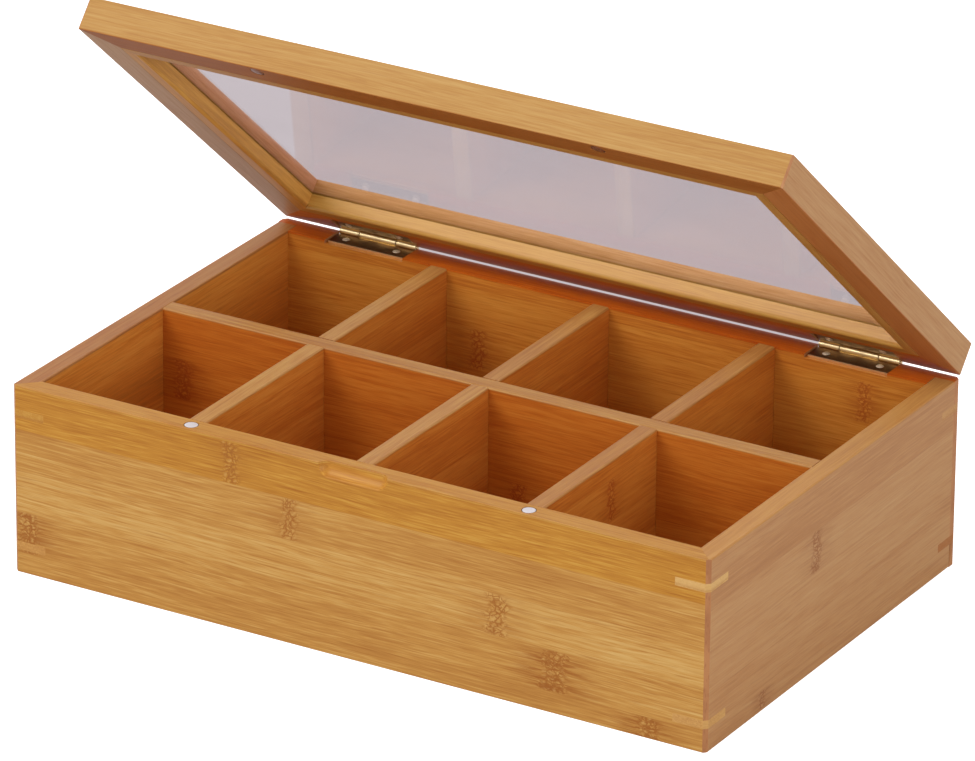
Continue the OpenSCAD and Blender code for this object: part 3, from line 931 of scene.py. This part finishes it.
def makePaneMaterial():
    material = bpy.data.materials.new("clearPane")
    material.use_nodes = True
    tree = material.node_tree
    surface = tree.nodes["Principled BSDF"]
    surface.inputs["Transmission Weight"].default_value = 1.0
    surface.inputs["IOR"].default_value = window["ior"]
    coords = addNode(tree, "ShaderNodeTexCoord", (-1000, 0))
    smear = noiseNode(tree, coords.outputs["Object"], (14, 22, 22), 3, (-600, 0))
    tone = rangeNode(tree, smear, 0.3, 0.7, 0.97, 1.0, (-400, 0))
    shade = mixColor(tree, 1.0, window["tint"], tone, (-200, 100), "MULTIPLY")
    tree.links.new(shade, surface.inputs["Base Color"])
    surface.inputs["Roughness"].default_value = window["roughness"]
    # light reaches the box through the pane
    clear = addNode(tree, "ShaderNodeBsdfTransparent", (300, 250), None, {"Color": window["tint"]})
    path = addNode(tree, "ShaderNodeLightPath", (300, 500))
    both = addNode(tree, "ShaderNodeMixShader", (550, 100), None, {
        "Fac": path.outputs["Is Shadow Ray"], 1: surface.outputs[0], 2: clear.outputs[0],
    })
    tree.links.new(both.outputs[0], tree.nodes["Material Output"].inputs["Surface"])
    return material


def makePane():
    pane = copyOfNode("window_pane", "windowPane")
    easeEdges(pane, lambda a, b: (b - a).length > 1 * mm, window["bevel"] * mm)
    pane.data.materials.append(makePaneMaterial())
    evenNormals(pane, 32)
    fitPiece(pane, "lid", "window_pane")


makePane()
print("window pane in place")


# metal

def makeMetalGroup():
    # fine wear and a slight tarnish in patches
    tree, given, result = newGroup(
        "metalFinish",
        [
            ("Vector", vector, (0, 0, 0)), ("Bright", colour, (0.8, 0.6, 0.3, 1)),
            ("Dull", colour, (0.5, 0.35, 0.15, 1)), ("Gloss", number, 0.2),
            ("Tarnish", number, 0.4),
        ],
        [("Color", colour), ("Roughness", number), ("Height", number)],
    )
    patch = noiseNode(tree, given["Vector"], (160, 160, 160), 2, (-900, 0))
    patch = rangeNode(tree, patch, 0.4, 0.7, 0, 1, (-700, 0))
    patch = mathNode(tree, "MULTIPLY", patch, given["Tarnish"], (-500, 0))
    shade = mixColor(tree, patch, given["Bright"], given["Dull"], (-300, 0))
    tree.links.new(shade, result["Color"])
    rough = scaleAdd(tree, patch, 0.25, given["Gloss"], (-300, -300))
    tree.links.new(rough, result["Roughness"])
    brushed = noiseNode(tree, given["Vector"], (400, 3000, 3000), 2, (-500, -500), 0.5)
    tree.links.new(brushed, result["Height"])
    return tree


metalGroup = makeMetalGroup()
metalRelief = {"strength": 0.06, "distance": 0.000002}


def makeMetal(name, bright, dull, gloss, tarnish, metallic):
    material = bpy.data.materials.new(name)
    material.use_nodes = True
    tree = material.node_tree
    surface = tree.nodes["Principled BSDF"]
    surface.inputs["Metallic"].default_value = metallic
    coords = addNode(tree, "ShaderNodeTexCoord", (-700, 0))
    look = placeGroup(tree, metalGroup, (-400, 0), {
        "Vector": coords.outputs["Object"], "Bright": bright, "Dull": dull,
        "Gloss": gloss, "Tarnish": tarnish,
    })
    tree.links.new(look.outputs["Color"], surface.inputs["Base Color"])
    tree.links.new(look.outputs["Roughness"], surface.inputs["Roughness"])
    bump = addNode(tree, "ShaderNodeBump", (-150, -300), None, {"Height": look.outputs["Height"]})
    bump.inputs["Strength"].default_value = metalRelief["strength"]
    bump.inputs["Distance"].default_value = metalRelief["distance"]
    tree.links.new(bump.outputs["Normal"], surface.inputs["Normal"])
    return material


# each finish: its bright and dull tones, gloss, tarnish and how metallic it is
metals = {
    "hingeBrass": ((0.86, 0.68, 0.38, 1), (0.7, 0.53, 0.27, 1), 0.28, 0.4, 1.0),
    # painted shade: the leaves' flat faces get a dark brass for the shade they lie in and the dark
    # wood they reflect
    "leafShadedBrass": ((0.30, 0.17, 0.07, 1), (0.2, 0.1, 0.04, 1), 0.36, 0.6, 1.0),
    # the screws' brass is paler and only half metallic: partly brass, partly a painted highlight
    # on their heads
    "screwHighlightBrass": ((0.86, 0.74, 0.53, 1), (0.74, 0.6, 0.4, 1), 0.35, 0.4, 0.5),
    "magnetNickel": ((0.84, 0.81, 0.83, 1), (0.72, 0.69, 0.71, 1), 0.42, 0.4, 0.55),
    # painted shade: the lid's magnets get a dark nickel, as they lie in shade under the open lid
    "lidMagnetShadedNickel": ((0.46, 0.34, 0.30, 1), (0.38, 0.27, 0.24, 1), 0.34, 0.3, 1.0),
    # painted shadow: a near-black finish for the gap round each magnet
    "magnetShadowRing": ((0.16, 0.15, 0.16, 1), (0.1, 0.09, 0.1, 1), 0.4, 0.5, 1.0),
}
finishes = {name: makeMetal(name, *values) for name, values in metals.items()}

hinge = {
    "x": 114.0,
    "length": 37.0,
    "leafWidth": 11.0,
    "leafThickness": 1.0,
    "knuckle": 3.6,
    "middle": 17.6,
    "gap": 0.3,
    "bore": 1.9,
    "pin": 1.8,
    "pinEnd": 0.4,
    "pinBevel": 0.36,
    "roll": 288,
    "rollSteps": 22,
    "edge": 0.14,
    "screwSpan": 24.6,
    "screwReach": 6.5,
    "screwHole": 0.85,
}
screwHead = {
    "diameter": 3.4,
    "height": 0.65,
    "shank": 1.6,
    "shankLength": 7.0,
    "slot": 0.4,
    "slotDepth": 0.3,
    "edge": 0.04,
    # how far each slot is turned, on the box's leaves and on the lid's
    "turns": {1: (25, 118, 70, 152), -1: (60, 10, 135, 96)},
}


def addBlock(name, low, high):
    size = [high[i] - low[i] for i in range(3)]
    middle = [(high[i] + low[i]) / 2 * mm for i in range(3)]
    bpy.ops.mesh.primitive_cube_add(size=1, location=middle, scale=[value * mm for value in size])
    piece = bpy.context.object
    piece.name = name
    applyPlace(piece)
    return piece


def bevelSharp(piece, width, degrees):
    limit = math.radians(degrees)
    applyModifier(
        piece, "BEVEL", width=width * mm, segments=2, limit_method="ANGLE", angle_limit=limit
    )


def makeLeaf(name, centre, turn):
    # drawn about the pin's axis, for a closed lid
    # turn is 1 for the box's leaf and -1 for the lid's, which lies above it
    radius = hinge["knuckle"] / 2
    half = hinge["length"] / 2
    x = centre.x / mm
    y = centre.y / mm
    z = centre.z / mm
    near = radius + hinge["gap"]
    levels = sorted((z - turn * radius, z - turn * (radius - hinge["leafThickness"])))
    low = (x - half, y - hinge["leafWidth"], levels[0])
    high = (x + half, y - near, levels[1])
    leaf = addBlock(name, low, high)
    inner = hinge["middle"] / 2
    cut = inner if turn > 0 else inner + hinge["gap"]
    for side in (-1, 1):
        chooseFaces(leaf, lambda place, normal: True)
        bpy.ops.mesh.bisect(plane_co=((x + side * cut) * mm, 0, 0), plane_no=(1, 0, 0))
        leaveEdit()
    limit = cut * mm

    def carriesKnuckle(place, normal):
        middlePart = abs(place.x - centre.x) < limit
        return normal.y > 0.9 and (middlePart if turn > 0 else not middlePart)

    chooseFaces(leaf, carriesKnuckle)
    bpy.ops.mesh.extrude_region_move(TRANSFORM_OT_translate={"value": (0, near * mm, 0)})
    leaveEdit()
    # thin the end so that it clears the pin, then roll it round
    inside = (radius - hinge["leafThickness"] / 2) * mm
    end = centre.y - 0.00001
    choosePoints(leaf, lambda place: place.y > end and abs(place.z - centre.z) < inside)
    thin = (hinge["bore"] / 2 - (radius - hinge["leafThickness"])) * mm
    bpy.ops.transform.translate(value=(0, 0, -turn * thin))
    leaveEdit()
    chooseFaces(leaf, lambda place, normal: place.y > end and normal.y > 0.9)
    angle = turn * math.radians(hinge["roll"])
    bpy.ops.mesh.spin(steps=hinge["rollSteps"], angle=angle, center=centre, axis=(1, 0, 0))
    leaveEdit()
    outwardNormals(leaf)
    bevelSharp(leaf, hinge["edge"], 50)
    leaf.data.materials.append(finishes["hingeBrass"])
    # the flat faces of a leaf get the dark brass, painted shade and painted reflection
    leaf.data.materials.append(finishes["leafShadedBrass"])
    for face in leaf.data.polygons:
        flat = abs(face.normal.z) > 0.9 and face.center.y < centre.y - near * mm
        face.material_index = 1 if flat else 0
    return leaf


def makePin(name, centre):
    length = (hinge["length"] + 2 * hinge["pinEnd"]) * mm
    bpy.ops.mesh.primitive_cylinder_add(
        vertices=32, radius=hinge["pin"] / 2 * mm, depth=length, location=centre,
        rotation=(0, math.pi / 2, 0),
    )
    pin = bpy.context.object
    pin.name = name
    applyPlace(pin)
    chooseEdges(pin, lambda a, b: abs(a.x - b.x) < 0.00001)
    bpy.ops.mesh.bevel(offset=hinge["pinBevel"] * mm, segments=4, profile=0.5, affect="EDGES")
    leaveEdit()
    smoothByAngle(pin, 40)
    pin.data.materials.append(finishes["hingeBrass"])
    return pin


def makeScrewPattern():
    # a slotted dome with its seat at the origin and its shank downwards
    half = screwHead["diameter"] / 2
    high = screwHead["height"]
    dome = (half * half + high * high) / (2 * high)
    bpy.ops.mesh.primitive_uv_sphere_add(
        segments=32, ring_count=64, radius=dome * mm, location=(0, 0, (high - dome) * mm)
    )
    screw = bpy.context.object
    screw.name = "leafScrew"
    applyPlace(screw)
    chooseFaces(screw, lambda place, normal: True)
    bpy.ops.mesh.bisect(plane_co=(0, 0, 0), plane_no=(0, 0, 1), use_fill=True, clear_inner=True)
    leaveEdit()
    down = -screwHead["shankLength"] * mm
    chooseFaces(screw, lambda place, normal: normal.z < -0.9)
    bpy.ops.mesh.inset(thickness=(half - screwHead["shank"] / 2) * mm)
    bpy.ops.mesh.extrude_region_move(TRANSFORM_OT_translate={"value": (0, 0, down)})
    leaveEdit()
    outwardNormals(screw)
    slot = addBlock(
        "slotCutter",
        (-half - 1, -screwHead["slot"] / 2, high - screwHead["slotDepth"]),
        (half + 1, screwHead["slot"] / 2, high + 1),
    )
    applyModifier(screw, "BOOLEAN", object=slot, operation="DIFFERENCE", solver="EXACT")
    bpy.data.objects.remove(slot)
    bevelSharp(screw, screwHead["edge"], 55)
    smoothByAngle(screw, 40)
    screw.data.materials.append(finishes["screwHighlightBrass"])
    return screw


def screwPlace(centre, side):
    x = centre.x + side * hinge["screwSpan"] / 2 * mm
    return Vector((x, centre.y - hinge["screwReach"] * mm, centre.z))


def drillLeaf(leaf, centre):
    for side in (-1, 1):
        bpy.ops.mesh.primitive_cylinder_add(
            vertices=24, radius=hinge["screwHole"] * mm, depth=6 * mm,
            location=screwPlace(centre, side),
        )
        drill = bpy.context.object
        applyModifier(leaf, "BOOLEAN", object=drill, operation="DIFFERENCE", solver="EXACT")
        bpy.data.objects.remove(drill)
    evenNormals(leaf, 35)


def swingToRest(piece):
    piece.matrix_world = lidSwing @ piece.matrix_world
    applyPlace(piece)


def joinPieces(pieces, name):
    deselectAll()
    for piece in pieces:
        piece.select_set(True)
    bpy.context.view_layer.objects.active = pieces[0]
    bpy.ops.object.join()
    pieces[0].name = name
    return pieces[0]


def placeScrews(pattern, centre, turn, screws):
    seat = hinge["knuckle"] / 2 - hinge["leafThickness"]
    flip = Matrix.Rotation(0 if turn > 0 else math.pi, 4, "X")
    for side in (-1, 1):
        screw = ownCopy(pattern, "leafScrewCopy")
        angle = math.radians(screwHead["turns"][turn][len(screws)])
        place = screwPlace(centre, side)
        place.z = centre.z - turn * seat * mm
        screw.matrix_world = Matrix.Translation(place) @ flip @ Matrix.Rotation(angle, 4, "Z")
        applyPlace(screw)
        if turn < 0:
            swingToRest(screw)
        screws.append(screw)


def makeHinges():
    pattern = makeScrewPattern()
    boxScrews = []
    lidScrews = []
    for side, word in ((-1, "Left"), (1, "Right")):
        centre = Vector((side * hinge["x"] * mm, pinPoint.y, pinPoint.z))
        boxLeaf = makeLeaf("boxLeaf" + word, centre, 1)
        drillLeaf(boxLeaf, centre)
        fitPiece(boxLeaf, "box", "box_leaf_" + word.lower())
        lidLeaf = makeLeaf("lidLeaf" + word, centre, -1)
        drillLeaf(lidLeaf, centre)
        swingToRest(lidLeaf)
        fitPiece(lidLeaf, "lid", "lid_leaf_" + word.lower())
        pin = makePin("hingePin" + word, centre)
        fitPiece(pin, "box", "hinge_pin_" + word.lower())
        placeScrews(pattern, centre, 1, boxScrews)
        placeScrews(pattern, centre, -1, lidScrews)
    bpy.data.objects.remove(pattern)
    fitPiece(joinPieces(boxScrews, "boxLeafScrews"), "box", "box_leaf_screws")
    fitPiece(joinPieces(lidScrews, "lidLeafScrews"), "lid", "lid_leaf_screws")


makeHinges()
print("hinges in place")

magnet = {"diameter": 6.0, "thickness": 2.0, "x": 77.5, "inset": 4.3, "edge": 0.6}
boxFront = -103.0


def makeMagnet(name, x, low, mouth, finish):
    # mouth is 1 where the face shows from above and -1 where it shows from below
    place = Vector((x, boxFront + magnet["inset"], low + magnet["thickness"] / 2)) * mm
    bpy.ops.mesh.primitive_cylinder_add(
        vertices=56, radius=magnet["diameter"] / 2 * mm, depth=magnet["thickness"] * mm,
        location=place,
    )
    disc = bpy.context.object
    disc.name = name
    applyPlace(disc)
    level = place.z + mouth * magnet["thickness"] / 2 * mm
    chooseEdges(disc, lambda a, b: abs(a.z - level) < 0.00001 and abs(b.z - level) < 0.00001)
    bpy.ops.mesh.bevel(offset=magnet["edge"] * mm, segments=3, profile=0.5, affect="EDGES")
    leaveEdit()
    disc.data.materials.append(finishes[finish])
    # the rim and sides get the dark ring, a painted shadow of the gap round the magnet
    disc.data.materials.append(finishes["magnetShadowRing"])
    for face in disc.data.polygons:
        face.material_index = 0 if face.normal.z * mouth > 0.95 else 1
    smoothByAngle(disc, 40)
    return disc


boxTop = 82.0
lidBottom = 82.3
for side, word in ((-1, "Left"), (1, "Right")):
    x = side * magnet["x"]
    disc = makeMagnet("boxMagnet" + word, x, boxTop - magnet["thickness"], 1, "magnetNickel")
    fitPiece(disc, "box", "box_magnet_" + word.lower())
    disc = makeMagnet("lidMagnet" + word, x, lidBottom, -1, "lidMagnetShadedNickel")
    swingToRest(disc)
    fitPiece(disc, "lid", "lid_magnet_" + word.lower())
print("magnets in place")
